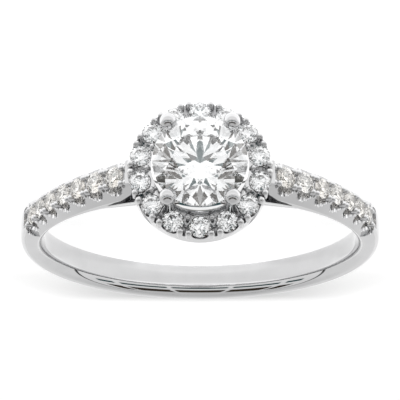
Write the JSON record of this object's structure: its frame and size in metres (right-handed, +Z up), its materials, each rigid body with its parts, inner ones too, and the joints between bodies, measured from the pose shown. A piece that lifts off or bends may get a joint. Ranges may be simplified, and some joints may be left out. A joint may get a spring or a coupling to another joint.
{
  "type": "halo ring",
  "caption": "Polished white metal finger ring with a round centre stone in four claws, a round halo of small stones and a row of small stones on each shoulder.",
  "frame": {"origin": "on the surface that the ring lies on, under the middle of its footprint", "axes": "+Z up from that surface, -Y towards the head, X across the band; the finger hole's axis leans 7.4 degrees from +Z towards +Y"},
  "size_m": [0.0198, 0.0224, 0.0071],
  "materials": {
    "metal": "mirror-polished white gold",
    "centre_stone": "clear faceted gem, table up",
    "halo_stones": "clear faceted gems",
    "shoulder_stones": "clear faceted gems, faintly warm"
  },
  "bodies": {
    "root": {"ring_mount": "metal", "centre_stone": "centre_stone", "halo_stone_1": "halo_stones", "halo_stone_2": "halo_stones", "halo_stone_3": "halo_stones", "halo_stone_4": "halo_stones", "halo_stone_5": "halo_stones", "halo_stone_6": "halo_stones", "halo_stone_7": "halo_stones", "halo_stone_8": "halo_stones", "halo_stone_9": "halo_stones", "halo_stone_10": "halo_stones", "halo_stone_11": "halo_stones", "halo_stone_12": "halo_stones", "halo_stone_13": "halo_stones", "halo_stone_14": "halo_stones", "left_shoulder_stone_1": "shoulder_stones", "left_shoulder_stone_2": "shoulder_stones", "left_shoulder_stone_3": "shoulder_stones", "left_shoulder_stone_4": "shoulder_stones", "left_shoulder_stone_5": "shoulder_stones", "left_shoulder_stone_6": "shoulder_stones", "left_shoulder_stone_7": "shoulder_stones", "right_shoulder_stone_1": "shoulder_stones", "right_shoulder_stone_2": "shoulder_stones", "right_shoulder_stone_3": "shoulder_stones", "right_shoulder_stone_4": "shoulder_stones", "right_shoulder_stone_5": "shoulder_stones", "right_shoulder_stone_6": "shoulder_stones", "right_shoulder_stone_7": "shoulder_stones"}
  },
  "joints": []
}
